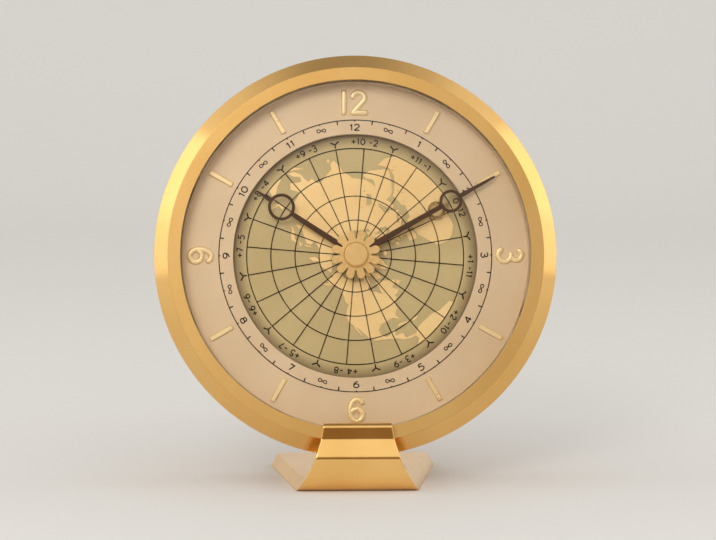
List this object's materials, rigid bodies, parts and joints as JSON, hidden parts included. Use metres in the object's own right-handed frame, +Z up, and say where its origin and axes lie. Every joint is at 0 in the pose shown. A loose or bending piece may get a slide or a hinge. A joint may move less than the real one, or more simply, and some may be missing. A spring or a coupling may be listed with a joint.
{
  "type": "world time clock",
  "caption": "Round gold table clock with a turning world-map disc, ring hands and an alarm hand, leaning back on a bent gold plate stand.",
  "frame": {"origin": "on the stand's flat underside, midway between its sides, where the clock stands on a surface", "axes": "+Z up, the face towards -Y, +X to the viewer's right; the head leans back 10 degrees"},
  "size_m": [0.16, 0.0795, 0.17],
  "materials": {
    "gold_polished": "polished gold plate",
    "gold_satin": "satin brushed gold plate",
    "glass": "clear flat glass",
    "dial_champagne": "satin champagne lacquer",
    "disc_olive": "satin olive-gold lacquer",
    "hand_black": "dark lacquer",
    "case_gold": "gold lacquered steel",
    "brass": "machined brass",
    "steel": "plain steel",
    "black_plastic": "black moulded plastic",
    "board_green": "green board",
    "nickel": "nickel plate",
    "cell_wrap": "plain dark wrap"
  },
  "bodies": {
    "case": {"stand": "gold_polished", "stand_saddle": "gold_satin", "foot_screws": "steel", "saddle_screws": "steel", "bezel": "gold_polished", "crystal": "glass", "spacer_ring": "dial_champagne", "case_drum": "case_gold", "back_cover": "case_gold", "back_cover_screws": "steel", "case_posts": "brass", "carrier_spacers": "brass", "dial_plate": "dial_champagne", "hour_batons": "gold_polished", "hour_numerals": "gold_polished", "minute_wheel_stud": "steel", "carrier_plate": "brass", "centre_bush": "brass", "rear_plate": "brass", "plate_pillars": "brass", "plate_screws": "steel", "drive_motor": "nickel", "circuit_board": "board_green", "board_posts": "brass", "quartz_can": "nickel", "control_chip": "black_plastic", "buzzer": "black_plastic", "switch_housing": "black_plastic", "battery": "cell_wrap", "battery_tray": "black_plastic", "positive_contact": "nickel", "negative_contact": "nickel", "battery_door_pin": "steel"},
    "minute_train": {"centre_arbor": "steel", "centre_wheel": "brass", "minute_hand": "hand_black", "rosette": "gold_polished", "hand_cap": "gold_satin"},
    "motion_wheel": {"minute_wheel": "brass"},
    "hour_train": {"hour_wheel": "brass", "hour_hand": "hand_black"},
    "disc_train": {"disc_wheel": "brass", "world_disc": "disc_olive", "map_continents": "gold_polished"},
    "time_setter": {"time_set_arbor": "steel", "time_set_knob": "black_plastic"},
    "drive_pinion": {"motor_pinion": "steel"},
    "alarm_train": {"alarm_wheel": "brass", "alarm_hand": "gold_polished"},
    "alarm_setter": {"alarm_set_arbor": "steel", "alarm_set_knob": "black_plastic"},
    "switch_slider": {"alarm_switch": "black_plastic"},
    "door": {"battery_door": "case_gold"}
  },
  "joints": [
    {"name": "minute_turn", "type": "hinge", "parent": "case", "child": "minute_train", "pos_m": [0, 0.0035, 0.0905], "axis": [0, 0.9848, -0.1736], "continuous": true},
    {"name": "motion_wheel_turn", "type": "hinge", "parent": "case", "child": "motion_wheel", "pos_m": [0.012, 0.0035, 0.0905], "axis": [0, 0.9848, -0.1736], "continuous": true},
    {"name": "hour_turn", "type": "hinge", "parent": "case", "child": "hour_train", "pos_m": [0, 0.0035, 0.0905], "axis": [0, 0.9848, -0.1736], "continuous": true},
    {"name": "disc_turn", "type": "hinge", "parent": "case", "child": "disc_train", "pos_m": [0, 0.0035, 0.0905], "axis": [0, 0.9848, -0.1736], "continuous": true},
    {"name": "time_set_turn", "type": "hinge", "parent": "case", "child": "time_setter", "pos_m": [0.018, 0.0053, 0.10073], "axis": [0, 0.9848, -0.1736], "continuous": true},
    {"name": "drive_pinion_turn", "type": "hinge", "parent": "case", "child": "drive_pinion", "pos_m": [0, 0.00551, 0.10192], "axis": [0, 0.9848, -0.1736], "continuous": true},
    {"name": "alarm_turn", "type": "hinge", "parent": "case", "child": "alarm_train", "pos_m": [0, 0.0035, 0.0905], "axis": [0, 0.9848, -0.1736], "continuous": true},
    {"name": "alarm_set_turn", "type": "hinge", "parent": "case", "child": "alarm_setter", "pos_m": [-0.00996, 0.0045, 0.09616], "axis": [0, 0.9848, -0.1736], "continuous": true},
    {"name": "alarm_switch_slide", "type": "slide", "parent": "case", "child": "switch_slider", "axis": [1, 0, 0], "range_m": [0, 0.005]},
    {"name": "battery_door_swing", "type": "hinge", "parent": "case", "child": "door", "pos_m": [0, 0.03423, 0.03959], "axis": [-1, 0, 0], "range_deg": [0, 100]}
  ],
  "couplings": [
    {"joint": "motion_wheel_turn", "follows": "minute_turn", "ratio": -0.33333},
    {"joint": "hour_turn", "follows": "minute_turn", "ratio": 0.083333},
    {"joint": "disc_turn", "follows": "minute_turn", "ratio": 0.083333},
    {"joint": "time_set_turn", "follows": "minute_turn", "ratio": 1},
    {"joint": "drive_pinion_turn", "follows": "minute_turn", "ratio": -4.8},
    {"joint": "alarm_set_turn", "follows": "alarm_turn", "ratio": -1.875}
  ]
}
